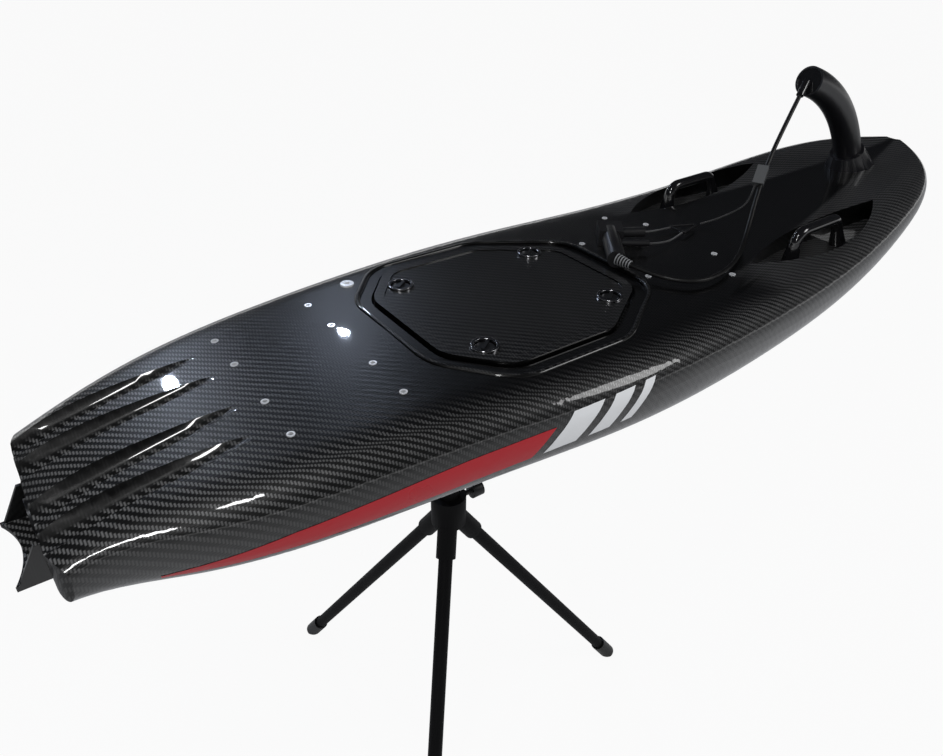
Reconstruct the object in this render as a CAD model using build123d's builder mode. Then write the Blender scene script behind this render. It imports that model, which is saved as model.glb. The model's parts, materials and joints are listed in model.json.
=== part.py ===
"""Motorized surfboard on its tripod display stand, as separate named pieces in millimetres."""
import math
import os

from build123d import *

os.makedirs("parts", exist_ok=True)

# Overall sizes
BOARD_LENGTH = 1800.0
BOARD_WIDTH = 556.0
DECK_HEIGHT = 1050.0     # flat middle of the deck above the floor

# Layout: stations run from the tail and side offsets from the centreline of a board of this size,
# and what they place moves along and across with the board
LAYOUT_LENGTH = 1800.0
LAYOUT_WIDTH = 556.0
STAND_STATION = 600.0    # stand axis

# Board sections from tail to nose
# columns: station share, half-width share, deck, shoulder, rail and keel heights over the flat deck
SECTIONS = [
    (0.00, 0.549, -66, -68, -91, -137),
    (0.08, 0.693, -28, -30, -71, -150),
    (0.22, 0.875, -5, -8, -61, -150),
    (0.30, 0.934, 0, -3, -57, -148),
    (0.40, 1.00, 0, -3, -57, -146),
    (0.50, 0.997, 0, -3, -56, -146),
    (0.60, 0.951, 0, -2, -53, -139),
    (0.75, 0.846, 13, 17, -35, -104),
    (0.87, 0.70, 41, 50, 2, -42),
    (0.95, 0.494, 63, 70, 35, 14),
    (0.985, 0.26, 76, 79, 55, 42),
    (1.00, 0.08, 83, 84, 72, 62),
]
SHOULDER_SHARE = 0.66    # where the deck turns down to the rail
CHINE_SHARE = 0.80       # where the bottom turns up to the rail
CHINE_RISE = 0.16        # chine height as a share of rail over keel
TAIL_CORNER = 46.0

# Seam between hull and deck, as an arc, a straight and an arc: columns station, height
SEAM_TAIL = [(-60, -112), (180, -74), (430, -59)]
SEAM_NOSE = [(900, -60), (1350, -44), (1860, 93)]

# Hatch: columns station, half width
LID_OUTLINE = [(524, 98), (592, 180), (775, 180), (906, 94)]
LID_CORNER = 56.0
LID_THICK = 21.0
LID_PROUD = 1.0
LID_GAP = 5.0
PANEL_INSET = 16.0
PANEL_DEPTH = 2.0
GUTTER_WIDTH = 22.0
GUTTER_DEPTH = 5.0
GASKET_THICK = 4.0
GASKET_INSET = 4.0
GASKET_WIDTH = 16.0
BAY_INSET = 24.0
BAY_DEPTH = 122.0

# Latches: columns station, side offset
LATCHES = [(586, 116), (841, 102)]
LATCH_RIM_R = 21.0
LATCH_RIM_WALL = 5.0
LATCH_DEPTH = 8.0
LATCH_RIM_PROUD = 2.5
LATCH_KNOB_R = 14.0
LATCH_BAR_LENGTH = 24.0
LATCH_BAR_WIDTH = 5.0
LATCH_BAR_RISE = 4.0

# Foot-strap inserts: columns station, side offset
INSERTS = [(284, 54), (284, 134), (436, 63), (436, 144), (949, 82), (1115, 83), (1075, 155)]
INSERT_R = 5.5
INSERT_BORE_R = 3.2
INSERT_DEPTH = 18.0
INSERT_PROUD = 1.0

# Breather plug beside the hatch
PLUG_STATION = 518.0
PLUG_SIDE = 172.0
PLUG_R = 11.0
PLUG_DEPTH = 8.0
PLUG_RISE = 3.0
PLUG_SOCKET_R = 4.5

# Grab handles and the hollows they stand in: heights are over the flat deck
HANDLE_SIDE = 150.0
HANDLE_R = 10.0
HANDLE_BEND = 24.0
HANDLE_FOOT_R = 17.0
HANDLE_FOOT_LENGTH = 44.0
HANDLE_ROUTE = [(1250, -30), (1251, 31), (1372, 34), (1402, -30)]
HOLLOW_TIPS = [(1135, 145), (1505, 140)]
HOLLOW_INNER = (1330, 106)
HOLLOW_OUTER = (1310, 200)
HOLLOW_FLOOR = [(1100, -14), (1235, -24), (1395, -24), (1540, 10)]

# Tail scoops: columns side offset at the tail and at the front end
SCOOPS = [(46, 40), (100, 112)]
SCOOP_LENGTH = 350.0
SCOOP_R = 26.0
SCOOP_TIP_R = 8.0

# Jet unit on the centreline
JET_DROP = 103.0         # axis under the flat deck
DUCT_R = 40.0
DUCT_FRONT = 520.0
PUMP_FRONT = 215.0
STATOR_LENGTH = 65.0
NOZZLE_WALL = 4.0
NOZZLE_R = 25.0
NOZZLE_NECK = 10.0       # station where the taper ends
NOZZLE_TAIL = -4.0
STATOR_HUB_R = 13.0
STATOR_VANES = 5
VANE_THICK = 4.0
IMPELLER_REAR = 235.0
IMPELLER_LENGTH = 56.0
IMPELLER_GAP = 5.0
IMPELLER_BLADES = 3
BLADE_THICK = 5.0
BLADE_PITCH = 42.0
SHAFT_R = 8.0
SHAFT_FRONT = 562.0
PIN_R = 6.0
PIN_LENGTH = 40.0
RUN_GAP = 0.05
BEARING_R = 16.0
INTAKE_REAR = 305.0
INTAKE_FRONT = 508.0
INTAKE_WIDTH = 72.0
INTAKE_CORNER = 20.0
GRILLE_RIM = 6.0
GRILLE_BARS = 3
GRILLE_BAR_WIDTH = 4.0
GRILLE_THICK = 9.0
ENGINE_REAR = 580.0
ENGINE_LENGTH = 250.0
ENGINE_WIDTH = 210.0
ENGINE_HEIGHT = 78.0

# Stern plate under the nozzle
STERN_HALF = 64.0
STERN_TIP = -40.0
STERN_NOTCH = -24.0
STERN_FRONT = 96.0
STERN_BOTTOM = -150.0
STERN_THICK = 8.0
STERN_CHEEK_THICK = 6.0
STERN_CHEEK_TOP = -94.0

# Control pole: heights over the flat deck
POLE_R = 27.0
POLE_WALL = 3.5
POLE_ROUTE = [(1619, 84), (1527, 190), (1414, 246)]
POLE_BASE_R = 54.0
POLE_BASE_HEIGHT = 62.0
POLE_COLLAR_R = 33.0
POLE_FLUTES = 10
POLE_FLUTE_R = 8.0
CAP_THICK = 6.0
CAP_SET_BACK = 2.0
GLAND_R = 7.0
GLAND_LENGTH = 30.0

# Throttle cable and its fittings: route points are station, side offset, height over the flat deck
CABLE_R = 4.0
CABLE_ROUTE = [
    (1392, -2, 223), (1352, -12, 178), (1298, -30, 127), (1247, -55, 76), (1185, -92, 22),
    (1120, -130, 9), (1050, -155, 8), (992, -158, 8), (958, -130, 9), (940, -92, 10.5), (932, -58, 14),
]
BOOT_R = 9.0
BOOT_TIP_R = 5.5
BOOT_LENGTH = 30.0
SLEEVE_LENGTH = 38.0
SLEEVE_WIDTH = 20.0
SLEEVE_DEPTH = 14.0
SLEEVE_SHIFT = 5.0

# Lanyard cords
LANYARD_R = 1.5
LANYARD_ROUTE = [
    (1255.6, -40.5, 88.7), (1241, -47.7, 74), (1243, -38, 50), (1234, -18, 31), (1212, 0, 16), (1186, 11, 10.5),
]
LANYARD_TAIL_A = [(1127, 31, 9.5), (1103, 34, 9), (1076, 33, 12), (1051, 29, 18)]
LANYARD_TAIL_B = [(1127, 3, 9.5), (1094, -8, 8), (1056, -14, 10), (1022, -9, 15)]
RING_CORNERS = [(1188, 12), (1124, 38), (1124, -4)]
RING_CORNER_R = 6.0
RING_WIRE = 4.0
RING_HEIGHT = 10.0       # centre of the ring over the flat deck

# Throttle grip lying on the deck
GRIP_FOOT = (926, -28)
GRIP_HEAD = (998, 64)
GRIP_R = 16.0
GRIP_HEIGHT = 15.5
GRIP_BLOCK = (52.0, 44.0, 28.0)
BARREL_R = 9.0
BARREL_END = (1052, 30)
TRIGGER_START = (974, 26)
TRIGGER_END = (1024, -9)
TRIGGER_R = 5.5

# Tripod stand
HUB_R = 32.0
HUB_LENGTH = 62.0
COLUMN_R = 19.0
COLUMN_SHOW = 124.0      # column between the cradle's gussets and the hub
COLUMN_SOCKET = 30.0
LEG_SOCKET_WALL = 5.0
LEG_SOCKET_LENGTH = 92.0
LEG_ANGLES = [("front", -9.7), ("port", 110.3), ("starboard", 230.3)]
LEG_SPREAD = 430.0
LEG_R = 13.0
LEG_SHORT = 22.0         # leg tube stops this far from the floor point
FOOT_R = 16.5
FOOT_LENGTH = 62.0
CRADLE_REAR = 535.0
CRADLE_LENGTH = 190.0
CRADLE_WIDTH = 200.0
CRADLE_THICK = 8.0
CRADLE_DROP = 168.0      # cradle plate top under the flat deck
PADS = [560, 697]        # stations of the pads
PAD_LENGTH = 42.0
PAD_TOP = 40.0
GUSSET_REACH = 74.0
GUSSET_DEPTH = 70.0
GUSSET_THICK = 6.0
KNOB_R = 15.0
KNOB_LENGTH = 22.0
KNOB_STEM_R = 5.0
KNOB_STEM = 16.0


UP = (Align.CENTER, Align.CENTER, Align.MIN)
DOWN = (Align.CENTER, Align.CENTER, Align.MAX)


def at(station, y, z):
    """Point in the part's frame from a station, a side offset and a height over the flat deck."""
    return ((station - STAND_STATION) * BOARD_LENGTH / LAYOUT_LENGTH, y * BOARD_WIDTH / LAYOUT_WIDTH, DECK_HEIGHT + z)


def side(station, z):
    """Point in the side view from a station and a height over the flat deck."""
    return (at(station, 0, z)[0], DECK_HEIGHT + z)


def plan(station, y):
    """Point in the top view from a station and a side offset."""
    return at(station, y, 0)[:2]


def export(piece, name):
    """Label a piece and write it out."""
    piece.part.label = name
    export_step(piece.part, f"parts/{name}.step")


def turned(points):
    """Solid turned about the jet axis from station and radius points."""
    with BuildPart() as shape:
        with BuildSketch(Plane.XZ):
            with BuildLine():
                Polyline(*[side(station, radius - JET_DROP) for station, radius in points], close=True)
            make_face()
        revolve(axis=Axis(at(0, 0, -JET_DROP), (1, 0, 0)))
    return shape.part


def rod(start, end, radius, end_radius=None):
    """Straight round bar or cone between two points."""
    along = Vector(*end) - Vector(*start)
    with BuildPart() as bar:
        with Locations(Plane(origin=start, z_dir=along)):
            if end_radius:
                Cone(radius, end_radius, along.length, align=UP)
            else:
                Cylinder(radius, along.length, align=UP)
    return bar.part


def cord(route, radius):
    """Round cord along straight runs joined by the widest even bends."""
    points = [Vector(*at(*point)) for point in route]
    runs = [b - a for a, b in zip(points, points[1:])]
    bends = []
    for before, after in zip(runs, runs[1:]):
        half_turn = math.radians(before.get_angle(after)) / 2
        bends.append(0.45 * min(before.length, after.length) / math.tan(half_turn))
    with BuildPart() as tube:
        with BuildLine():
            path = FilletPolyline(*points, radius=bends)
        with BuildSketch(Plane(origin=path @ 0, z_dir=path % 0)):
            Circle(radius)
        sweep()
    print("cord", round(path.length, 1), "mm long, bends", [round(bend) for bend in bends],
          "volume ratio", round(tube.part.volume / (math.pi * radius ** 2 * path.length), 4))
    return tube.part


# Whole board, lofted and then rounded at the tail corners
with BuildPart() as board:
    for share, width_share, deck_z, shoulder_z, rail_z, keel_z in SECTIONS:
        half = width_share * BOARD_WIDTH / 2
        shoulder = SHOULDER_SHARE * half
        chine = CHINE_SHARE * half
        chine_z = keel_z + CHINE_RISE * (rail_z - keel_z)
        with BuildSketch(Plane(origin=at(share * LAYOUT_LENGTH, 0, 0), x_dir=(0, 1, 0), z_dir=(1, 0, 0))):
            with BuildLine():
                Bezier((-shoulder, shoulder_z), (0, 2 * deck_z - shoulder_z), (shoulder, shoulder_z))
                Bezier((shoulder, shoulder_z), (half, shoulder_z), (half, rail_z))
                Bezier((half, rail_z), (half, chine_z), (chine, chine_z))
                Polyline((chine, chine_z), (0, keel_z), (-chine, chine_z))
                Bezier((-chine, chine_z), (-half, chine_z), (-half, rail_z))
                Bezier((-half, rail_z), (-half, shoulder_z), (-shoulder, shoulder_z))
            make_face()
    loft()
    tail_half = SECTIONS[0][1] * LAYOUT_WIDTH / 2
    corner_end = (1.4 * TAIL_CORNER, tail_half + 0.72 * TAIL_CORNER)
    with BuildSketch(Plane.XY.offset(DECK_HEIGHT - BOARD_WIDTH)):
        with BuildLine():
            Polyline(plan(0, tail_half - TAIL_CORNER), plan(0, TAIL_CORNER - tail_half))
            for sign in (1, -1):
                ThreePointArc(plan(0, sign * (tail_half - TAIL_CORNER)),
                              plan(0.35 * TAIL_CORNER, sign * (tail_half - 0.02 * TAIL_CORNER)),
                              plan(corner_end[0], sign * corner_end[1]))
            Polyline(plan(*corner_end), plan(corner_end[0], LAYOUT_WIDTH), plan(LAYOUT_LENGTH + TAIL_CORNER, LAYOUT_WIDTH),
                     plan(LAYOUT_LENGTH + TAIL_CORNER, -LAYOUT_WIDTH), plan(corner_end[0], -LAYOUT_WIDTH),
                     plan(corner_end[0], -corner_end[1]))
        make_face()
    extrude(amount=2 * BOARD_WIDTH, mode=Mode.INTERSECT)

# Space under the seam between hull and deck
with BuildPart() as below_seam:
    with BuildSketch(Plane.XZ):
        with BuildLine():
            ThreePointArc(*[side(*point) for point in SEAM_TAIL])
            Line(side(*SEAM_TAIL[-1]), side(*SEAM_NOSE[0]))
            ThreePointArc(*[side(*point) for point in SEAM_NOSE])
            Polyline(side(*SEAM_NOSE[-1]), side(SEAM_NOSE[-1][0], -BOARD_WIDTH), side(SEAM_TAIL[0][0], -BOARD_WIDTH),
                     side(*SEAM_TAIL[0]))
        make_face()
    extrude(amount=BOARD_WIDTH, both=True)

# Outline of the hatch lid
with BuildSketch() as lid_outline:
    with BuildLine():
        Polyline(*[plan(station, half) for station, half in LID_OUTLINE],
                 *[plan(station, -half) for station, half in reversed(LID_OUTLINE)], close=True)
    make_face()
    fillet(lid_outline.vertices(), LID_CORNER)


def lid_block(grow, bottom, top):
    """Prism on the grown lid outline between two heights over the flat deck."""
    with BuildPart() as block:
        with BuildSketch(Plane.XY.offset(DECK_HEIGHT + bottom)):
            add(lid_outline.sketch)
            if grow:
                offset(amount=grow)
        extrude(amount=top - bottom)
    return block.part


def deck_top(station, y):
    """Height of the deck over the flat deck at a place."""
    x, y = plan(station, y)
    hits = board.part.find_intersection_points(Axis((x, y, DECK_HEIGHT + 500), (0, 0, -1)))
    return max(point.Z for point, normal in hits) - DECK_HEIGHT


lid_bottom = LID_PROUD - LID_THICK
ledge = lid_bottom - GASKET_THICK
bay_cut = lid_block(-BAY_INSET, -BAY_DEPTH, 60)
seat_cut = lid_block(LID_GAP, ledge, 60)
gutter_cut = lid_block(GUTTER_WIDTH, -GUTTER_DEPTH, 60)

# Duct, pump and nozzle space through the tail
nozzle_outside = [(PUMP_FRONT, DUCT_R), (PUMP_FRONT - STATOR_LENGTH, DUCT_R), (NOZZLE_NECK, NOZZLE_R)]
duct_cut = turned([(DUCT_FRONT, 0), (DUCT_FRONT, DUCT_R), *nozzle_outside, (NOZZLE_TAIL - 60, NOZZLE_R),
                   (NOZZLE_TAIL - 60, 0)])
bearing_cut = turned([(DUCT_FRONT - 1, 0), (DUCT_FRONT - 1, BEARING_R), (SHAFT_FRONT, BEARING_R), (SHAFT_FRONT, 0)])
intake_middle = plan((INTAKE_REAR + INTAKE_FRONT) / 2, 0)
intake_length = plan(INTAKE_FRONT, 0)[0] - plan(INTAKE_REAR, 0)[0]
with BuildPart() as intake_cut:
    with BuildSketch(Plane.XY.offset(DECK_HEIGHT - JET_DROP + DUCT_R / 4)):
        with Locations(intake_middle):
            RectangleRounded(intake_length, INTAKE_WIDTH, INTAKE_CORNER)
    extrude(amount=-BOARD_WIDTH / 2)

# Hollows for the grab handles
with BuildPart() as hollow_space:
    with BuildSketch(Plane.XZ):
        with BuildLine():
            Polyline(*[side(*point) for point in HOLLOW_FLOOR], side(HOLLOW_FLOOR[-1][0], 300),
                     side(HOLLOW_FLOOR[0][0], 300), close=True)
        make_face()
    extrude(amount=BOARD_WIDTH, both=True)
hollows = []
for sign in (1, -1):
    with BuildPart() as hollow:
        with BuildSketch(Plane.XY.offset(DECK_HEIGHT - 60)):
            with BuildLine():
                rear, front = [plan(station, sign * y) for station, y in HOLLOW_TIPS]
                ThreePointArc(rear, plan(HOLLOW_INNER[0], sign * HOLLOW_INNER[1]), front)
                ThreePointArc(front, plan(HOLLOW_OUTER[0], sign * HOLLOW_OUTER[1]), rear)
            make_face()
        extrude(amount=300)
        add(hollow_space.part, mode=Mode.INTERSECT)
    hollows.append(hollow.part)

# Tapering scoops in the tail of the deck
scoops = []
for y_tail, y_front in SCOOPS:
    for sign in (1, -1):
        scoops.append(rod(at(-12, sign * y_tail, deck_top(1, 0) + 14),
                          at(SCOOP_LENGTH, sign * y_front, deck_top(SCOOP_LENGTH, 0) + 22), SCOOP_R, SCOOP_TIP_R))

insert_spots = [(station, sign * y) for station, y in INSERTS for sign in (1, -1)]
insert_spots = [(station, y, deck_top(station, y)) for station, y in insert_spots]
plug_top = deck_top(PLUG_STATION, PLUG_SIDE)

# Hull: lower shell of the board
with BuildPart() as hull:
    add(board.part)
    add(below_seam.part, mode=Mode.INTERSECT)
    for cut in (bay_cut, duct_cut, bearing_cut, intake_cut.part):
        add(cut, mode=Mode.SUBTRACT)
export(hull, "hull")

# Deck: upper shell of the board
with BuildPart() as deck:
    add(board.part)
    for cut in (below_seam.part, bay_cut, seat_cut, gutter_cut, duct_cut, bearing_cut, *hollows, *scoops):
        add(cut, mode=Mode.SUBTRACT)
    for station, y, top in insert_spots:
        with Locations(at(station, y, top + 20)):
            Cylinder(INSERT_R, INSERT_DEPTH + 20, align=DOWN, mode=Mode.SUBTRACT)
    with Locations(at(PLUG_STATION, PLUG_SIDE, plug_top + 20)):
        Cylinder(PLUG_R, PLUG_DEPTH + 20, align=DOWN, mode=Mode.SUBTRACT)
export(deck, "deck")

# Threaded inserts for the foot straps
with BuildPart() as strap_inserts:
    for station, y, top in insert_spots:
        with Locations(at(station, y, top - INSERT_DEPTH)):
            Cylinder(INSERT_R, INSERT_DEPTH + INSERT_PROUD, align=UP)
        with Locations(at(station, y, top - INSERT_DEPTH + 3)):
            Cylinder(INSERT_BORE_R, INSERT_DEPTH + 20, align=UP,
                     mode=Mode.SUBTRACT)
export(strap_inserts, "strap_inserts")

# Breather plug
with BuildPart() as breather_plug:
    with Locations(at(PLUG_STATION, PLUG_SIDE, plug_top - PLUG_DEPTH)):
        Cylinder(PLUG_R, PLUG_DEPTH + PLUG_RISE, align=UP)
    with Locations(at(PLUG_STATION, PLUG_SIDE, plug_top)):
        Cylinder(PLUG_SOCKET_R, PLUG_RISE, align=UP, mode=Mode.SUBTRACT)
export(breather_plug, "breather_plug")

# Hatch gasket on its ledge
with BuildPart() as hatch_gasket:
    add(lid_block(-GASKET_INSET, ledge, lid_bottom))
    add(lid_block(-GASKET_INSET - GASKET_WIDTH, ledge, lid_bottom), mode=Mode.SUBTRACT)
export(hatch_gasket, "hatch_gasket")

# Hatch lid with a sunk panel and holes for the latches
latch_spots = [at(station, sign * y, LID_PROUD) for station, y in LATCHES for sign in (1, -1)]
with BuildPart() as hatch_lid:
    add(lid_block(0, lid_bottom, LID_PROUD))
    add(lid_block(-PANEL_INSET, LID_PROUD - PANEL_DEPTH, LID_PROUD), mode=Mode.SUBTRACT)
    with Locations(*latch_spots):
        Cylinder(LATCH_RIM_R, LATCH_DEPTH, align=DOWN, mode=Mode.SUBTRACT)
export(hatch_lid, "hatch_lid")

# Latch rims and the quarter-turn knobs inside them
with BuildPart() as latch_rims:
    with Locations(*[Vector(*spot) - Vector(0, 0, LATCH_DEPTH) for spot in latch_spots]):
        Cylinder(LATCH_RIM_R, LATCH_DEPTH + LATCH_RIM_PROUD, align=UP)
        Cylinder(LATCH_RIM_R - LATCH_RIM_WALL, LATCH_DEPTH + LATCH_RIM_PROUD,
                 align=UP, mode=Mode.SUBTRACT)
export(latch_rims, "latch_rims")

with BuildPart() as latch_knobs:
    with Locations(*[Vector(*spot) - Vector(0, 0, LATCH_DEPTH) for spot in latch_spots]):
        Cylinder(LATCH_KNOB_R, LATCH_DEPTH - 2, align=UP)
    with Locations(*[Vector(*spot) - Vector(0, 0, 2) for spot in latch_spots]):
        Box(LATCH_BAR_LENGTH, LATCH_BAR_WIDTH, LATCH_BAR_RISE, rotation=(0, 0, 35),
            align=UP)
export(latch_knobs, "latch_knobs")

# Plain block for the engine in the bay
with BuildPart() as engine_block:
    with Locations(at(ENGINE_REAR, 0, -BAY_DEPTH)):
        Box(ENGINE_LENGTH, ENGINE_WIDTH, ENGINE_HEIGHT, align=(Align.MIN, Align.CENTER, Align.MIN))
export(engine_block, "engine_block")

# Shaft bearing in the wall between duct and bay
bay_rear = LID_OUTLINE[0][0] + BAY_INSET
with BuildPart() as shaft_bearing:
    add(turned([(DUCT_FRONT, SHAFT_R + RUN_GAP), (DUCT_FRONT, BEARING_R), (bay_rear, BEARING_R),
                (bay_rear, SHAFT_R + RUN_GAP)]))
export(shaft_bearing, "shaft_bearing")

# Impeller on its shaft, with a rear pin that runs in the stator hub
impeller_r = DUCT_R - IMPELLER_GAP
impeller_front = IMPELLER_REAR + IMPELLER_LENGTH
impeller_plane = Plane(origin=at(IMPELLER_REAR + IMPELLER_LENGTH / 2, 0, -JET_DROP), x_dir=(0, 1, 0), z_dir=(1, 0, 0))
with BuildPart() as impeller:
    with Locations(impeller_plane):
        with PolarLocations(impeller_r / 2, IMPELLER_BLADES):
            Box(impeller_r, BLADE_THICK, 2 * IMPELLER_LENGTH, rotation=(BLADE_PITCH, 0, 0))
    add(turned([(IMPELLER_REAR, 0), (IMPELLER_REAR, impeller_r), (impeller_front, impeller_r), (impeller_front, 0)]),
        mode=Mode.INTERSECT)
    add(turned([(IMPELLER_REAR - PIN_LENGTH, 0), (IMPELLER_REAR - PIN_LENGTH, PIN_R), (IMPELLER_REAR, PIN_R),
                (IMPELLER_REAR, STATOR_HUB_R), (impeller_front, STATOR_HUB_R), (impeller_front + 18, SHAFT_R),
                (SHAFT_FRONT, SHAFT_R), (SHAFT_FRONT, 0)]))
export(impeller, "impeller")

# Nozzle with its stator vanes and hub
stator_rear = PUMP_FRONT - STATOR_LENGTH
pin_seat = IMPELLER_REAR - PIN_LENGTH - 3
vane_span = DUCT_R - NOZZLE_WALL / 2 - STATOR_HUB_R + 1
vane_plane = Plane(origin=at((PUMP_FRONT + stator_rear) / 2, 0, -JET_DROP), x_dir=(0, 1, 0), z_dir=(1, 0, 0))
with BuildPart() as jet_nozzle:
    add(turned([*nozzle_outside, (NOZZLE_TAIL, NOZZLE_R), (NOZZLE_TAIL, NOZZLE_R - NOZZLE_WALL),
                (NOZZLE_NECK, NOZZLE_R - NOZZLE_WALL), (stator_rear, DUCT_R - NOZZLE_WALL),
                (PUMP_FRONT, DUCT_R - NOZZLE_WALL)]))
    with Locations(vane_plane):
        with PolarLocations(STATOR_HUB_R - 1 + vane_span / 2, STATOR_VANES):
            Box(vane_span, VANE_THICK, STATOR_LENGTH - 10)
    add(turned([(PUMP_FRONT, PIN_R + RUN_GAP), (PUMP_FRONT, STATOR_HUB_R), (stator_rear, STATOR_HUB_R),
                (stator_rear - 40, 0), (pin_seat, 0), (pin_seat, PIN_R + RUN_GAP)]))
export(jet_nozzle, "jet_nozzle")

# Grille over the intake
with BuildPart() as intake_grille:
    grille_bottom = SECTIONS[2][5] + 1
    with BuildSketch(Plane.XY.offset(DECK_HEIGHT + grille_bottom)):
        with Locations(intake_middle):
            RectangleRounded(intake_length, INTAKE_WIDTH, INTAKE_CORNER)
            RectangleRounded(intake_length - 2 * GRILLE_RIM, INTAKE_WIDTH - 2 * GRILLE_RIM, INTAKE_CORNER - GRILLE_RIM,
                             mode=Mode.SUBTRACT)
            with GridLocations(0, (INTAKE_WIDTH - 2 * GRILLE_RIM) / (GRILLE_BARS + 1), 1, GRILLE_BARS):
                Rectangle(intake_length - GRILLE_RIM, GRILLE_BAR_WIDTH)
    extrude(amount=GRILLE_THICK)
export(intake_grille, "intake_grille")

# Stern plate with two cheeks beside the nozzle
with BuildPart() as stern_plate:
    with BuildSketch(Plane.XY.offset(DECK_HEIGHT + STERN_BOTTOM)):
        with BuildLine():
            Polyline(plan(STERN_TIP, STERN_HALF), plan(STERN_FRONT, STERN_HALF), plan(STERN_FRONT, -STERN_HALF),
                     plan(STERN_TIP, -STERN_HALF))
            ThreePointArc(plan(STERN_TIP, -STERN_HALF), plan(STERN_NOTCH, 0), plan(STERN_TIP, STERN_HALF))
        make_face()
    extrude(amount=STERN_THICK)
    with Locations(at(STERN_FRONT, 0, STERN_BOTTOM)):
        Box(STERN_FRONT - 6, 2 * STERN_HALF, 24, align=(Align.MAX, Align.CENTER, Align.MIN))
    for sign in (1, -1):
        with BuildSketch(Plane.XZ.offset(-sign * (STERN_HALF - STERN_CHEEK_THICK / 2))):
            with BuildLine():
                Polyline(side(STERN_TIP + 2, STERN_BOTTOM + 2), side(0, STERN_BOTTOM + 2), side(0, STERN_CHEEK_TOP),
                         side(-8, STERN_CHEEK_TOP), close=True)
            make_face()
        extrude(amount=STERN_CHEEK_THICK / 2, both=True)
    add(board.part, mode=Mode.SUBTRACT)
export(stern_plate, "stern_plate")

# Grab handles
for name, sign in (("port", 1), ("starboard", -1)):
    with BuildPart() as grab_handle:
        with BuildLine():
            bail = FilletPolyline(*[at(station, sign * HANDLE_SIDE, z) for station, z in HANDLE_ROUTE],
                                  radius=HANDLE_BEND)
        with BuildSketch(Plane(origin=bail @ 0, z_dir=bail % 0)):
            Circle(HANDLE_R)
        sweep()
        for end, way in ((bail @ 0, bail % 0), (bail @ 1, -(bail % 1))):
            add(rod(end, end + way * HANDLE_FOOT_LENGTH, HANDLE_FOOT_R, HANDLE_R))
        add(deck.part, mode=Mode.SUBTRACT)
        add(hull.part, mode=Mode.SUBTRACT)
    export(grab_handle, f"grab_handle_{name}")

# Control pole, its base and its end cap
foot, crown, tip = [Vector(*at(station, 0, z)) for station, z in POLE_ROUTE]
with BuildPart() as control_pole:
    with BuildLine():
        pole_line = ThreePointArc(foot, crown, tip)
    with BuildSketch(Plane(origin=foot, z_dir=pole_line % 0)):
        Circle(POLE_R)
        Circle(POLE_R - POLE_WALL, mode=Mode.SUBTRACT)
    sweep()
export(control_pole, "control_pole")

# Fluted base under the pole, with the pole's bore running on through it
pole_way = pole_line % 0
base_foot = foot - pole_way * POLE_BASE_HEIGHT
base_plane = Plane(origin=base_foot, x_dir=(0, 1, 0), z_dir=pole_way)
with BuildPart() as pole_base:
    add(rod(base_foot, foot, POLE_BASE_R, POLE_COLLAR_R))
    for flute in range(POLE_FLUTES):
        turn = 2 * math.pi * flute / POLE_FLUTES
        out = base_plane.x_dir * math.cos(turn) + base_plane.y_dir * math.sin(turn)
        add(rod(base_foot + out * (POLE_BASE_R - POLE_FLUTE_R / 2), foot + out * (POLE_COLLAR_R - POLE_FLUTE_R / 2),
                POLE_FLUTE_R, POLE_FLUTE_R / 2))
    add(rod(base_foot - pole_way * POLE_R, foot + pole_way * POLE_R, POLE_R - POLE_WALL), mode=Mode.SUBTRACT)
    add(board.part, mode=Mode.SUBTRACT)
export(pole_base, "pole_base")

end_way = pole_line % 1
with BuildPart() as pole_cap:
    add(rod(tip - end_way * (CAP_THICK + CAP_SET_BACK + 6), tip - end_way * CAP_SET_BACK, POLE_R - POLE_WALL))
    add(control_pole.part, mode=Mode.SUBTRACT)
export(pole_cap, "pole_cap")

# Throttle cable from the gland in the pole cap to the boot of the grip
cable_points = [Vector(*at(*point)) for point in CABLE_ROUTE]
with BuildPart() as throttle_cable:
    add(cord(CABLE_ROUTE, CABLE_R))
export(throttle_cable, "throttle_cable")

with BuildPart() as cable_gland:
    gland_way = (cable_points[0] - cable_points[1]).normalized()
    add(rod(cable_points[0], cable_points[0] + gland_way * GLAND_LENGTH, GLAND_R))
    add(control_pole.part, mode=Mode.SUBTRACT)
    add(pole_cap.part, mode=Mode.SUBTRACT)
export(cable_gland, "cable_gland")

# Throttle grip with its head and barrel
with BuildPart() as throttle_grip:
    grip_foot, grip_head = [at(*spot, GRIP_HEIGHT) for spot in (GRIP_FOOT, GRIP_HEAD)]
    add(rod(grip_foot, grip_head, GRIP_R))
    head_turn = math.degrees(math.atan2(GRIP_HEAD[1] - GRIP_FOOT[1], GRIP_HEAD[0] - GRIP_FOOT[0]))
    with Locations(grip_head):
        Box(*GRIP_BLOCK, rotation=(0, 0, head_turn))
    add(rod(grip_head, at(*BARREL_END, GRIP_HEIGHT + 2), BARREL_R))
    add(board.part, mode=Mode.SUBTRACT)
export(throttle_grip, "throttle_grip")

with BuildPart() as throttle_trigger:
    add(rod(at(*TRIGGER_START, GRIP_HEIGHT), at(*TRIGGER_END, GRIP_HEIGHT), TRIGGER_R))
    add(throttle_grip.part, mode=Mode.SUBTRACT)
export(throttle_trigger, "throttle_trigger")

with BuildPart() as grip_boot:
    boot_way = (cable_points[-1] - cable_points[-2]).normalized()
    add(rod(cable_points[-1] + boot_way * BOOT_LENGTH, cable_points[-1], BOOT_R, BOOT_TIP_R))
    add(throttle_grip.part, mode=Mode.SUBTRACT)
    add(board.part, mode=Mode.SUBTRACT)
export(grip_boot, "grip_boot")

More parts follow.
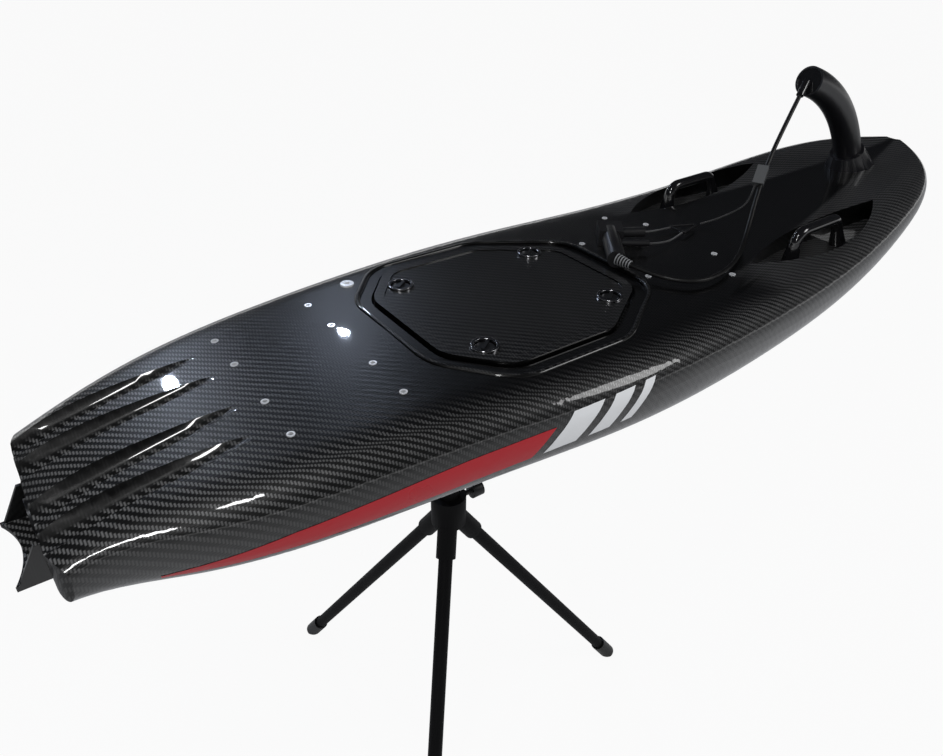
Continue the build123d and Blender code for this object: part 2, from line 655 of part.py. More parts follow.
# Sleeve that ties the lanyard to the cable
with BuildPart() as cable_sleeve:
    run_way = (cable_points[3] - cable_points[2]).normalized()
    run_side = Vector(-run_way.Y, run_way.X, 0).normalized()
    run_side = run_side if run_side.Y > 0 else -run_side
    middle = (cable_points[2] + cable_points[3]) * 0.5 + run_side * SLEEVE_SHIFT
    with Locations(Plane(origin=middle, x_dir=run_side, z_dir=run_way)):
        Box(SLEEVE_WIDTH, SLEEVE_DEPTH, SLEEVE_LENGTH)
    add(throttle_cable.part, mode=Mode.SUBTRACT)
export(cable_sleeve, "cable_sleeve")

# Lanyard, its ring and the two tails to the grip
with BuildPart() as lanyard_ring:
    with BuildSketch(Plane.XY.offset(DECK_HEIGHT + RING_HEIGHT - RING_WIRE / 2)):
        with BuildLine():
            Polyline(*[plan(*corner) for corner in RING_CORNERS], close=True)
        make_face()
        fillet(vertices(), RING_CORNER_R)
        offset(amount=-RING_WIRE, mode=Mode.SUBTRACT)
    extrude(amount=RING_WIRE)
export(lanyard_ring, "lanyard_ring")

for name, route in (("lanyard", LANYARD_ROUTE), ("lanyard_tail_a", LANYARD_TAIL_A), ("lanyard_tail_b", LANYARD_TAIL_B)):
    with BuildPart() as lanyard:
        add(cord(route, LANYARD_R))
        for piece in (lanyard_ring, throttle_grip, throttle_trigger, cable_sleeve):
            add(piece.part, mode=Mode.SUBTRACT)
    export(lanyard, name)

# Tripod hub with the legs' sockets, and the column
cradle_bottom = DECK_HEIGHT - CRADLE_DROP - CRADLE_THICK
hub_height = cradle_bottom - GUSSET_DEPTH - COLUMN_SHOW - HUB_LENGTH / 2
hub_centre = (0, 0, hub_height)
leg_feet = [(name, Vector(LEG_SPREAD, 0, 0).rotate(Axis.Z, angle)) for name, angle in LEG_ANGLES]
column_foot = hub_height + HUB_LENGTH / 2 - COLUMN_SOCKET
with BuildPart() as stand_hub:
    with Locations(hub_centre):
        Cylinder(HUB_R, HUB_LENGTH)
    for name, leg_end in leg_feet:
        leg_way = (leg_end - Vector(*hub_centre)).normalized()
        socket_end = Vector(*hub_centre) + leg_way * LEG_SOCKET_LENGTH
        add(rod(hub_centre, socket_end, LEG_R + LEG_SOCKET_WALL))
    for name, leg_end in leg_feet:
        add(rod(hub_centre, leg_end, LEG_R), mode=Mode.SUBTRACT)
    with Locations(hub_centre):
        Cylinder(HUB_R, HUB_LENGTH)
    with Locations((0, 0, column_foot)):
        Cylinder(COLUMN_R, HUB_LENGTH, align=UP, mode=Mode.SUBTRACT)
export(stand_hub, "stand_hub")

with BuildPart() as stand_column:
    with Locations((0, 0, column_foot)):
        Cylinder(COLUMN_R, cradle_bottom - column_foot, align=UP)
export(stand_column, "stand_column")

# Clamp knob on the hub
with BuildPart() as clamp_knob:
    knob_x = HUB_R + KNOB_STEM
    knob_z = hub_height + HUB_LENGTH / 4
    add(rod((0, 0, knob_z), (knob_x, 0, knob_z), KNOB_STEM_R))
    add(rod((knob_x, 0, knob_z), (knob_x + KNOB_LENGTH, 0, knob_z), KNOB_R))
    with Locations(hub_centre):
        Cylinder(HUB_R, HUB_LENGTH, mode=Mode.SUBTRACT)
export(clamp_knob, "clamp_knob")

# Legs and their rubber feet
for name, leg_end in leg_feet:
    leg_way = (leg_end - Vector(*hub_centre)).normalized()
    with BuildPart() as stand_leg:
        add(rod(hub_centre, leg_end - leg_way * LEG_SHORT, LEG_R))
        with Locations(hub_centre):
            Cylinder(HUB_R, HUB_LENGTH, mode=Mode.SUBTRACT)
    export(stand_leg, f"stand_leg_{name}")
    with BuildPart() as stand_foot:
        add(rod(leg_end - leg_way * FOOT_LENGTH, leg_end, FOOT_R))
        add(stand_leg.part, mode=Mode.SUBTRACT)
        split(bisect_by=Plane.XY, keep=Keep.TOP)
    export(stand_foot, f"stand_foot_{name}")

# Cradle plate with gussets and the pads that carry the hull
with BuildPart() as stand_cradle:
    with Locations((CRADLE_REAR - STAND_STATION, 0, cradle_bottom)):
        Box(CRADLE_LENGTH, CRADLE_WIDTH, CRADLE_THICK, align=(Align.MIN, Align.CENTER, Align.MIN))
    with BuildSketch(Plane.YZ):
        with BuildLine():
            Polyline((0, cradle_bottom + 1), (-GUSSET_REACH, cradle_bottom + 1), (-GUSSET_REACH, cradle_bottom - 12),
                     (0, cradle_bottom - GUSSET_DEPTH), (GUSSET_REACH, cradle_bottom - 12),
                     (GUSSET_REACH, cradle_bottom + 1), close=True)
        make_face()
    extrude(amount=GUSSET_THICK / 2, both=True)
    add(stand_column.part, mode=Mode.SUBTRACT)
export(stand_cradle, "stand_cradle")

with BuildPart() as cradle_pads:
    with Locations(*[at(station, 0, -CRADLE_DROP) for station in PADS]):
        Box(PAD_LENGTH, CRADLE_WIDTH, PAD_TOP, align=UP)
    add(board.part, mode=Mode.SUBTRACT)
export(cradle_pads, "cradle_pads")
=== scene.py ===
"""Looks of the motorized surfboard on its tripod stand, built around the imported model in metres."""

import json
import math

import bpy
from mathutils import Matrix, Vector
from mathutils.bvhtree import BVHTree


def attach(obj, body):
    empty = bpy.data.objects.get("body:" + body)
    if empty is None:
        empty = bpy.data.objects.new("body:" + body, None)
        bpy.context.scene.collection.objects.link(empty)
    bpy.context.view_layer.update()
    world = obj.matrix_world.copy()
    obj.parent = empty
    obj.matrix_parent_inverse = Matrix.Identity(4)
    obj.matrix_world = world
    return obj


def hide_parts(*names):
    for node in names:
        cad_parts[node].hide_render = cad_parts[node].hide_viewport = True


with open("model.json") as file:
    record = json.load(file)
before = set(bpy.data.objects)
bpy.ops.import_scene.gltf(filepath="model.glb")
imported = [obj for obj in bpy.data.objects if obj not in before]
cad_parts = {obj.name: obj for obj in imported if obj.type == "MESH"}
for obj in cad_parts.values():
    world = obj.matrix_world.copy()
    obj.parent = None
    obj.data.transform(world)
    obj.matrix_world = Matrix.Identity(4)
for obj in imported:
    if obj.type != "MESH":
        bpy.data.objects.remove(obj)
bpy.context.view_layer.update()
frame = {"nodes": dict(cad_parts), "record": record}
nodes = frame["nodes"]
scene = bpy.context.scene
scene.view_settings.view_transform = "Standard"

# Places on the board: stations run from the tail, heights are over the flat deck, both in metres
STAND_STATION = 0.600
DECK_HEIGHT = 1.050


def at(station, y, z):
    """Point in the frame from a station, a side offset and a height over the flat deck."""
    return Vector((station - STAND_STATION, y, DECK_HEIGHT + z))


# Camera at the photograph's viewing angle
IMAGE_WIDTH = 943
FOCAL_PIXELS = 749.8
SENSOR = 36.0
CAMERA_PLACE = at(0.04117, -0.84421, 0.53758)
CAMERA_TURN = math.radians(-35.65)
CAMERA_RISE = math.radians(33.05)
CAMERA_ROLL = math.radians(-0.9)


def add_camera():
    """Camera with the place, turn, rise and roll of the photograph's."""
    back = Vector((math.sin(CAMERA_TURN) * math.cos(CAMERA_RISE),
                   -math.cos(CAMERA_TURN) * math.cos(CAMERA_RISE), math.sin(CAMERA_RISE)))
    right = (-back).cross(Vector((0, 0, 1))).normalized()
    down = (-back).cross(right)
    across = right * math.cos(CAMERA_ROLL) + down * math.sin(CAMERA_ROLL)
    up = right * math.sin(CAMERA_ROLL) - down * math.cos(CAMERA_ROLL)
    data = bpy.data.cameras.new("camera")
    data.sensor_width = SENSOR
    data.lens = FOCAL_PIXELS * SENSOR / IMAGE_WIDTH
    camera = bpy.data.objects.new("camera", data)
    camera.matrix_world = Matrix.Translation(CAMERA_PLACE) @ Matrix((across, up, back)).transposed().to_4x4()
    scene.collection.objects.link(camera)
    scene.camera = camera


add_camera()

# Cords: columns station, side offset, height over the flat deck
CABLE_ROUTE = [
    (1.392, -0.002, 0.223), (1.352, -0.012, 0.178), (1.298, -0.030, 0.127), (1.247, -0.055, 0.076),
    (1.185, -0.092, 0.022), (1.120, -0.130, 0.009), (1.050, -0.155, 0.008), (0.992, -0.158, 0.008),
    (0.958, -0.130, 0.009), (0.940, -0.092, 0.0105), (0.932, -0.058, 0.014),
]
LANYARD_ROUTE = [
    (1.2556, -0.0405, 0.0887), (1.241, -0.0477, 0.074), (1.243, -0.038, 0.050), (1.234, -0.018, 0.031),
    (1.212, 0.0, 0.016), (1.186, 0.011, 0.0105),
]
TAIL_A_ROUTE = [(1.127, 0.031, 0.0095), (1.103, 0.034, 0.009), (1.076, 0.033, 0.012), (1.051, 0.029, 0.018)]
TAIL_B_ROUTE = [(1.127, 0.003, 0.0095), (1.094, -0.008, 0.008), (1.056, -0.014, 0.010), (1.022, -0.009, 0.015)]
CABLE_R = 0.004
LANYARD_R = 0.0015


def curve_piece(name, points, radius, closed=False, smooth=True):
    """Round tube along points, as one smooth or straight-run curve."""
    data = bpy.data.curves.new(name, "CURVE")
    data.dimensions = "3D"
    data.bevel_depth = radius
    data.bevel_resolution = 4
    data.resolution_u = 16
    data.use_fill_caps = not closed
    spline = data.splines.new("NURBS" if smooth else "POLY")
    spline.points.add(len(points) - 1)
    for spot, point in zip(spline.points, points):
        spot.co = (*point, 1)
    if smooth:
        spline.order_u = 3
        spline.use_endpoint_u = not closed
    spline.use_cyclic_u = closed
    piece = bpy.data.objects.new(name, data)
    scene.collection.objects.link(piece)
    return piece


def add_cord(name, route, radius):
    """Free cord that stands for its plain solid."""
    piece = curve_piece(f"{name}_line", [at(*point) for point in route], radius)
    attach(piece, "board")
    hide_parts(name)
    return piece


cords = [
    add_cord("throttle_cable", CABLE_ROUTE, CABLE_R),
    add_cord("lanyard", LANYARD_ROUTE, LANYARD_R),
    add_cord("lanyard_tail_a", TAIL_A_ROUTE, LANYARD_R),
    add_cord("lanyard_tail_b", TAIL_B_ROUTE, LANYARD_R),
]


# Materials
def calc(tree, operation, *values):
    """Math node on numbers or sockets."""
    step = tree.nodes.new("ShaderNodeMath")
    step.operation = operation
    for socket, value in zip(step.inputs, values):
        if isinstance(value, bpy.types.NodeSocket):
            tree.links.new(value, socket)
        else:
            socket.default_value = value
    return step.outputs[0]


def rise(tree, value, low, high):
    """Smooth step from 0 at low to 1 at high."""
    step = tree.nodes.new("ShaderNodeMapRange")
    step.interpolation_type = "SMOOTHSTEP"
    tree.links.new(value, step.inputs["Value"])
    step.inputs["From Min"].default_value = low
    step.inputs["From Max"].default_value = high
    return step.outputs["Result"]


def blend(tree, factor, first, second):
    """Colour between two colours."""
    step = tree.nodes.new("ShaderNodeMix")
    step.data_type = "RGBA"
    tree.links.new(factor, step.inputs["Factor"])
    for socket, value in ((step.inputs["A"], first), (step.inputs["B"], second)):
        if isinstance(value, bpy.types.NodeSocket):
            tree.links.new(value, socket)
        else:
            socket.default_value = (*value, 1)
    return step.outputs["Result"]


def noise(tree, place, scale, detail=3):
    """Noise value at a place."""
    step = tree.nodes.new("ShaderNodeTexNoise")
    step.inputs["Scale"].default_value = scale
    step.inputs["Detail"].default_value = detail
    tree.links.new(place, step.inputs["Vector"])
    return step.outputs["Fac"]


def bump(tree, height, distance, strength=1.0):
    """Normal from a height."""
    step = tree.nodes.new("ShaderNodeBump")
    step.inputs["Strength"].default_value = strength
    step.inputs["Distance"].default_value = distance
    tree.links.new(height, step.inputs["Height"])
    return step.outputs["Normal"]


def start_material(name, roughness, metallic=0.0, coat=0.0, coat_roughness=0.03, specular=0.5):
    """New material with its shader's constant values; returns material, tree, shader and place."""
    material = bpy.data.materials.new(name)
    material.use_nodes = True
    tree = material.node_tree
    shader = tree.nodes["Principled BSDF"]
    shader.inputs["Roughness"].default_value = roughness
    shader.inputs["Metallic"].default_value = metallic
    shader.inputs["Coat Weight"].default_value = coat
    shader.inputs["Coat Roughness"].default_value = coat_roughness
    shader.inputs["Specular IOR Level"].default_value = specular
    place = tree.nodes.new("ShaderNodeTexCoord").outputs["Object"]
    return material, tree, shader, place


GLOSS_SPREAD = 0.16       # how far gloss varies over a moulded surface
TURNING_SMEAR = 60.0      # scale of the smears on turned metal
SMEAR_SPREAD = 0.2        # how far gloss varies over turned metal
WAVE_PITCH = 0.05         # Blender's wave texture repeats at about this over its scale


def grained(name, colour, roughness, grain=900.0, depth=0.00008, patch=14.0, variation=0.25, **constants):
    """Moulded, painted or cast surface: slow colour patches, uneven gloss and a fine grain."""
    material, tree, shader, place = start_material(name, roughness, **constants)
    patches = noise(tree, place, patch)
    low = [channel * (1 - variation) for channel in colour]
    high = [min(1, channel * (1 + variation)) for channel in colour]
    tree.links.new(blend(tree, patches, low, high), shader.inputs["Base Color"])
    uneven = calc(tree, "MULTIPLY_ADD", patches, GLOSS_SPREAD, roughness - GLOSS_SPREAD / 2)
    tree.links.new(uneven, shader.inputs["Roughness"])
    tree.links.new(bump(tree, noise(tree, place, grain, 2), depth), shader.inputs["Normal"])
    return material


def turned_metal(name, colour, roughness, metallic=1.0, pitch=0.0008, depth=0.00003):
    """Bright metal with fine turning lines along the deck's plane."""
    material, tree, shader, place = start_material(name, roughness, metallic=metallic)
    lines = tree.nodes.new("ShaderNodeTexWave")
    lines.inputs["Scale"].default_value = WAVE_PITCH / pitch
    lines.inputs["Distortion"].default_value = 2.0
    tree.links.new(place, lines.inputs["Vector"])
    smear = noise(tree, place, TURNING_SMEAR)
    dull = [0.75 * channel for channel in colour]
    tree.links.new(blend(tree, smear, dull, colour), shader.inputs["Base Color"])
    uneven = calc(tree, "MULTIPLY_ADD", smear, SMEAR_SPREAD, roughness - SMEAR_SPREAD / 2)
    tree.links.new(uneven, shader.inputs["Roughness"])
    tree.links.new(bump(tree, lines.outputs["Fac"], depth), shader.inputs["Normal"])
    return material


def braided(name, colour, pitch=0.003):
    """Woven cord: two crossed sets of slanting strands."""
    material, tree, shader, place = start_material(name, 0.75)
    shader.inputs["Sheen Weight"].default_value = 0.3
    split = tree.nodes.new("ShaderNodeSeparateXYZ")
    tree.links.new(place, split.inputs[0])
    along = calc(tree, "ADD", split.outputs["X"], split.outputs["Y"])
    sets = []
    for slant in ("ADD", "SUBTRACT"):
        run = calc(tree, slant, along, split.outputs["Z"])
        sets.append(calc(tree, "SINE", calc(tree, "MULTIPLY", run, math.tau / pitch)))
    strands = calc(tree, "MULTIPLY_ADD", calc(tree, "MULTIPLY", *sets), 0.5, 0.5)
    dark = [0.45 * channel for channel in colour]
    tree.links.new(blend(tree, strands, dark, colour), shader.inputs["Base Color"])
    tree.links.new(bump(tree, strands, 0.0003), shader.inputs["Normal"])
    return material


# Carbon twill under a clear coat, whose tow brightness is painted sheen of the fibres; stations, offsets and heights
# in metres
TOW = 0.0036              # width of one tow of fibres
TOW_SHADE_POWER = 1.6        # how fast a tow's painted sheen fades into painted shade towards its edges
TOW_DEPTH, TOW_STRENGTH = 0.00025, 0.5
# Brightness of the tows on top and of those under them: painted sheen of the black fibres, a lit and an unlit copy
FIBRE_SHEEN = 0.100
FIBRE_DARK = 0.004
RESIN_BLACK = 0.0015
FIBRE_GLOSS = 0.3         # specular level of the weave under the coat
PATCH_SCALE = 9.0         # slow patches in the weave, with their spread and least share
PATCH_SPREAD, PATCH_LEAST = 0.5, 0.6
TAIL_RISE = (0.40, -0.45)    # station where the tail starts to fall, and how fast
NOSE_RISE = (1.05, 0.146)    # station where the nose starts to rise, and how fast
WIDEST = (0.80, 0.278)       # widest station and the half width there
REAR_TAPER, FRONT_TAPER = 0.200, 0.142    # loss of half width per squared distance from it
RAIL_INSET = (0.028, 0.042)    # the rail's weave ends this far in from the widest line
RAIL_FACING = (-0.2, 0.0)      # walls that face inward by more than this are no rail
RAIL_TURN = 2.5                # how soon the weave turns down over the rail
LEVEL_FACING = (0.80, 0.97)    # upward share of a normal where the deck counts as level
RAIL_DROP = (0.004, 0.016)     # drop under the crown over which the painted sheen of the rail's weave comes up
REAR_SHEEN_FADE = (0.16, 0.42)      # stations over which the painted sheen on the tail's weave dies away
FRONT_WEAVE = (1.05, 1.15)     # stations over which the weave beside the front panel comes up
PANEL_EDGE = (1.1, 0.145, -0.21)    # station, half width there and taper of the plain front panel
PANEL_FADE = 0.012
MIDDLE_SHEEN = 0.06        # painted sheen of the weave left on the dark middle and on the black front panel
LID_SHEEN = 0.45          # painted sheen of the weave on the lid
RAIL_SHADE = (0.0, 0.85)    # upward share of a normal over which the rail's painted sheen brightens, so upright rails get painted shade
UPRIGHT_RAIL_SHEEN = 0.25         # painted sheen left on an upright rail, in painted shade
REAR_SHEEN_BOOST = 0.6          # extra painted sheen on the tail's weave
AFT_FACING = (0.55, 0.9)    # rearward share of a normal where the tail's end face starts
AFT_COAT_LOSS, AFT_GLOSS_LOSS = 0.92, 0.27


def part_of(tree, vector):
    """X, Y and Z sockets of a vector."""
    split = tree.nodes.new("ShaderNodeSeparateXYZ")
    tree.links.new(vector, split.inputs[0])
    return split.outputs["X"], split.outputs["Y"], split.outputs["Z"]


def weave_height(tree, station, across):
    """Mask of the tows on top of a 2 by 2 twill, which carry the painted sheen, and the height over a tow's width."""
    u = calc(tree, "DIVIDE", station, TOW)
    v = calc(tree, "DIVIDE", across, TOW)
    step = calc(tree, "ADD", calc(tree, "FLOOR", u), calc(tree, "FLOOR", v))
    warp = calc(tree, "LESS_THAN", calc(tree, "FLOORED_MODULO", step, 4), 1.5)
    share = calc(tree, "ADD", calc(tree, "MULTIPLY", warp, calc(tree, "FRACT", u)),
                 calc(tree, "MULTIPLY", calc(tree, "SUBTRACT", 1, warp), calc(tree, "FRACT", v)))
    round_tow = calc(tree, "MULTIPLY", calc(tree, "MULTIPLY", share, calc(tree, "SUBTRACT", 1, share)), 4)
    return warp, round_tow


def drop_under_crown(tree, station, z):
    """Depth of a point under the deck's curved middle line."""
    tail = calc(tree, "POWER", calc(tree, "MAXIMUM", calc(tree, "SUBTRACT", TAIL_RISE[0], station), 0), 2)
    nose = calc(tree, "POWER", calc(tree, "MAXIMUM", calc(tree, "SUBTRACT", station, NOSE_RISE[0]), 0), 2)
    crown = calc(tree, "MULTIPLY_ADD", nose, NOSE_RISE[1], calc(tree, "MULTIPLY", tail, TAIL_RISE[1]))
    height = calc(tree, "SUBTRACT", z, DECK_HEIGHT)
    return calc(tree, "MAXIMUM", calc(tree, "SUBTRACT", crown, height), 0)


def rail_mask(tree, station, y, facing_y):
    """1 on the board's rails, 0 inside them and on the walls of hollows."""
    away = calc(tree, "SUBTRACT", station, WIDEST[0])
    taper = calc(tree, "MULTIPLY_ADD", calc(tree, "GREATER_THAN", away, 0), FRONT_TAPER - REAR_TAPER, REAR_TAPER)
    loss = calc(tree, "MULTIPLY", taper, calc(tree, "POWER", calc(tree, "ABSOLUTE", away), 2))
    half_width = calc(tree, "SUBTRACT", WIDEST[1], loss)
    inset = calc(tree, "SUBTRACT", half_width, calc(tree, "ABSOLUTE", y))
    outward = calc(tree, "MULTIPLY", facing_y, calc(tree, "SIGN", y))
    return calc(tree, "MULTIPLY", calc(tree, "SUBTRACT", 1, rise(tree, inset, *RAIL_INSET)),
                rise(tree, outward, *RAIL_FACING))


def panel_and_sheen_share(tree, sheen_share, station, y, drop, flat, facing_z):
    """Share of the painted sheen of the weave on the board: full on rails, tail and nose sides, little in the dark
    middle and on the black front panel, with painted shade on upright rails.
    """
    # Painted sheen: full on the rails and the tail, fading out forward of the tail, little on the middle
    rail = rise(tree, drop, *RAIL_DROP)
    rear = calc(tree, "SUBTRACT", 1, rise(tree, station, *REAR_SHEEN_FADE))
    panel_station, panel_half, panel_taper = PANEL_EDGE
    panel_edge = calc(tree, "MULTIPLY_ADD", calc(tree, "SUBTRACT", station, panel_station), panel_taper, panel_half)
    outside = rise(tree, calc(tree, "SUBTRACT", calc(tree, "ABSOLUTE", y), panel_edge), 0.0, PANEL_FADE)
    front = calc(tree, "MULTIPLY", outside, rise(tree, station, *FRONT_WEAVE))
    area = calc(tree, "MULTIPLY", calc(tree, "MAXIMUM", calc(tree, "MAXIMUM", rail, rear), front), flat)
    # Painted shade on upright rails, and a painted boost of sheen on the tail
    upright = rise(tree, facing_z, *RAIL_SHADE)
    for factor, spread, least in ((area, 1 - MIDDLE_SHEEN, MIDDLE_SHEEN), (upright, 1 - UPRIGHT_RAIL_SHEEN, UPRIGHT_RAIL_SHEEN),
                                  (rear, REAR_SHEEN_BOOST, 1.0)):
        sheen_share = calc(tree, "MULTIPLY", sheen_share, calc(tree, "MULTIPLY_ADD", factor, spread, least))
    return sheen_share


def carbon(name, sheen_by_deck_area):
    """Clear-coated carbon twill that wraps from the deck down over the rails; the tows' brightness in its colour is
    painted sheen and shade.
    """
    material, tree, shader, place = start_material(name, 0.34, coat=1.0, coat_roughness=0.03, specular=FIBRE_GLOSS)
    x, y, z = part_of(tree, place)
    facing_x, facing_y, facing_z = part_of(tree, place.node.outputs["Normal"])
    station = calc(tree, "ADD", x, STAND_STATION)
    drop = drop_under_crown(tree, station, z)
    on_side = rail_mask(tree, station, y, facing_y)
    level = rise(tree, facing_z, *LEVEL_FACING)
    flat = calc(tree, "MAXIMUM", on_side, level)
    sideways = calc(tree, "MINIMUM", calc(tree, "MAXIMUM", calc(tree, "MULTIPLY", facing_y, RAIL_TURN), -1), 1)
    across = calc(tree, "MULTIPLY_ADD", calc(tree, "MULTIPLY", sideways, on_side), drop, y)
    warp, round_tow = weave_height(tree, station, across)
    sheen_share = calc(tree, "MULTIPLY_ADD", noise(tree, place, PATCH_SCALE), PATCH_SPREAD, PATCH_LEAST)
    # On the deck the painted sheen follows where light falls on the board
    if sheen_by_deck_area:
        sheen_share = panel_and_sheen_share(tree, sheen_share, station, y, drop, flat, facing_z)
    else:
        # Painted sheen of the weave on the lid's level faces
        sheen_share = calc(tree, "MULTIPLY", sheen_share, calc(tree, "MULTIPLY", level, LID_SHEEN))
    # Painted sheen on the tows on top, fading to painted shade at their edges and scaled by the painted sheen share
    tow_sheen = calc(tree, "MULTIPLY", warp, calc(tree, "POWER", round_tow, TOW_SHADE_POWER))
    bright = calc(tree, "MULTIPLY", calc(tree, "MULTIPLY_ADD", tow_sheen, FIBRE_SHEEN - FIBRE_DARK, FIBRE_DARK), sheen_share)
    grey = tree.nodes.new("ShaderNodeCombineColor")
    for socket in ("Red", "Green", "Blue"):
        tree.links.new(calc(tree, "ADD", bright, RESIN_BLACK), grey.inputs[socket])
    tree.links.new(grey.outputs["Color"], shader.inputs["Base Color"])
    aft = rise(tree, calc(tree, "MULTIPLY", facing_x, -1), *AFT_FACING)
    tree.links.new(calc(tree, "MULTIPLY_ADD", aft, -AFT_COAT_LOSS, 1), shader.inputs["Coat Weight"])
    dulled = calc(tree, "MULTIPLY_ADD", aft, -AFT_GLOSS_LOSS, FIBRE_GLOSS)
    tree.links.new(dulled, shader.inputs["Specular IOR Level"])
    laid = calc(tree, "MULTIPLY", round_tow, flat)
    tree.links.new(bump(tree, laid, TOW_DEPTH, TOW_STRENGTH), shader.inputs["Normal"])
    return material


RED = (0.430, 0.004, 0.012)
WHITE = (0.78, 0.79, 0.80)
materials = {
    "carbon": carbon("carbon", True),
    "carbon_lid": carbon("carbon_lid", False),
    "gloss_black": grained("gloss_black", (0.008, 0.008, 0.009), 0.16, coat=1.0),
    "bright_metal": turned_metal("bright_metal", (0.82, 0.83, 0.85), 0.22, metallic=0.35),
    "dark_metal": grained("dark_metal", (0.05, 0.052, 0.056), 0.35, metallic=0.8),
    "jet_metal": grained("jet_metal", (0.42, 0.43, 0.45), 0.4, grain=500, depth=0.0002, metallic=1.0),
    "black_plastic": grained("black_plastic", (0.010, 0.010, 0.011), 0.38, depth=0.00015, specular=0.4),
    "grey_plastic": grained("grey_plastic", (0.075, 0.078, 0.08), 0.42, depth=0.00015),
    "black_rubber": grained("black_rubber", (0.006, 0.006, 0.006), 0.38, grain=600, depth=0.0001, specular=0.35),
    "cord": braided("cord", (0.02, 0.02, 0.021)),
    "stand_black": grained("stand_black", (0.004, 0.004, 0.0045), 0.55, grain=700, specular=0.1),
}
stripe_red = grained("stripe_red", RED, 0.3, variation=0.06, depth=0.00002, specular=0.3, coat=0.3)
stripe_white = grained("stripe_white", WHITE, 0.35, variation=0.04, depth=0.00002, coat=0.3)
dark_chrome = turned_metal("dark_chrome", (0.42, 0.42, 0.44), 0.20)
pole_satin = grained("pole_satin", (0.007, 0.007, 0.009), 0.36, variation=0.15, coat=0.35, coat_roughness=0.22)
boot_grey = grained("boot_grey", (0.20, 0.205, 0.21), 0.45, variation=0.1)


def dress(piece, material):
    """Give every face of a piece one material."""
    piece.data.materials.clear()
    piece.data.materials.append(material)


for subpart in frame["record"]["subparts"]:
    dress(nodes[subpart["node"]], materials[subpart["material_slot"]])
dress(nodes["latch_rims"], dark_chrome)
for name in ("control_pole", "pole_base"):
    dress(nodes[name], pole_satin)
dress(cords[0], materials["black_rubber"])
for cord in cords[1:]:
    dress(cord, materials["cord"])


# Soft edges on the machined and moulded pieces: node and width of its rounding
SHARP = math.radians(35)
WELD_DISTANCE = 0.00001
SOFT_EDGES = {
    "hatch_lid": 0.0026, "latch_rims": 0.0012, "latch_knobs": 0.001, "breather_plug": 0.001,
    "stern_plate": 0.0015, "throttle_grip": 0.003, "cable_sleeve": 0.002, "lanyard_ring": 0.0012,
    "stand_hub": 0.002, "stand_cradle": 0.0015, "pole_cap": 0.0015, "clamp_knob": 0.002,
    "cradle_pads": 0.003, "intake_grille": 0.001,
}
for name, width in SOFT_EDGES.items():
    weld = nodes[name].modifiers.new("weld", "WELD")
    weld.merge_threshold = WELD_DISTANCE
    edge = nodes[name].modifiers.new("edge", "BEVEL")
    edge.width = width
    edge.segments = 3
    edge.limit_method = "ANGLE"
    edge.angle_limit = SHARP
    edge.harden_normals = True


# Surface of the board for trim that lies on it
def board_surface():
    """Search tree over the hull and the deck."""
    points, faces = [], []
    for name in ("hull", "deck"):
        mesh = nodes[name].data
        start = len(points)
        points += [vertex.co.copy() for vertex in mesh.vertices]
        faces += [[start + index for index in face.vertices] for face in mesh.polygons]
    return BVHTree.FromPolygons(points, faces)


surface = board_surface()
RAIL_REACH = 1.0


def on_rail(station, z, sign, proud):
    """Point just off the rail at a station and a height over the flat deck."""
    start = at(station, sign * RAIL_REACH, z)
    place, normal, _, _ = surface.ray_cast(start, Vector((0, -sign, 0)))
    return place + normal * proud if place else None


def sheet_piece(name, rows, material):
    """Smooth sheet through rows of points that rides on the board."""
    points = [point for row in rows for point in row]
    width = len(rows[0])
    faces = []
    for i in range(len(rows) - 1):
        for j in range(width - 1):
            first = i * width + j
            faces.append((first, first + 1, first + width + 1, first + width))
    mesh = bpy.data.meshes.new(name)
    mesh.from_pydata(points, [], faces)
    mesh.update()
    for face in mesh.polygons:
        face.use_smooth = True
    piece = bpy.data.objects.new(name, mesh)
    scene.collection.objects.link(piece)
    dress(piece, material)
    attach(piece, "board")


# Rounded lip round the hatch gutter: columns station and half width of the lid's corners
LID_OUTLINE = [(0.524, 0.098), (0.592, 0.180), (0.775, 0.180), (0.906, 0.094)]
LID_CORNER = 0.056
GUTTER_WIDTH = 0.022
LIP_R = 0.0046
LIP_SUNK = 0.0018         # the lip's middle lies this much under the deck
CORNER_STEPS = 12
PROBE_HEIGHT = 0.3


def lid_ring(grow):
    """Points round the lid's outline, grown by a distance, with rounded corners."""
    corners = [Vector(spot) for spot in LID_OUTLINE] + [Vector((s, -y)) for s, y in reversed(LID_OUTLINE)]
    ring = []
    for before, corner, after in zip(corners[-1:] + corners, corners, corners[1:] + corners[:1]):
        into, out = (corner - before).normalized(), (after - corner).normalized()
        half_turn = into.angle(out) / 2
        inward = (out - into).normalized()
        centre = corner + inward * LID_CORNER / math.cos(half_turn)
        for i in range(CORNER_STEPS + 1):
            turn = half_turn * (2 * i / CORNER_STEPS - 1)
            way = Vector((-inward.x * math.cos(turn) - inward.y * math.sin(turn),
                          inward.x * math.sin(turn) - inward.y * math.cos(turn)))
            ring.append(centre + way * (LID_CORNER + grow))
    return ring


def on_deck(station, y):
    """Point just under the deck's surface below a place."""
    place, _, _, _ = surface.ray_cast(at(station, y, PROBE_HEIGHT), Vector((0, 0, -1)))
    return place - Vector((0, 0, LIP_SUNK))


def riding_curve(name, points, radius, material):
    """Closed round bead that rides on the board."""
    piece = curve_piece(name, points, radius, closed=True, smooth=False)
    dress(piece, material)
    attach(piece, "board")


lip = [on_deck(*spot) for spot in lid_ring(GUTTER_WIDTH + LIP_R)]
riding_curve("gutter_lip", lip, LIP_R, materials["carbon_lid"])

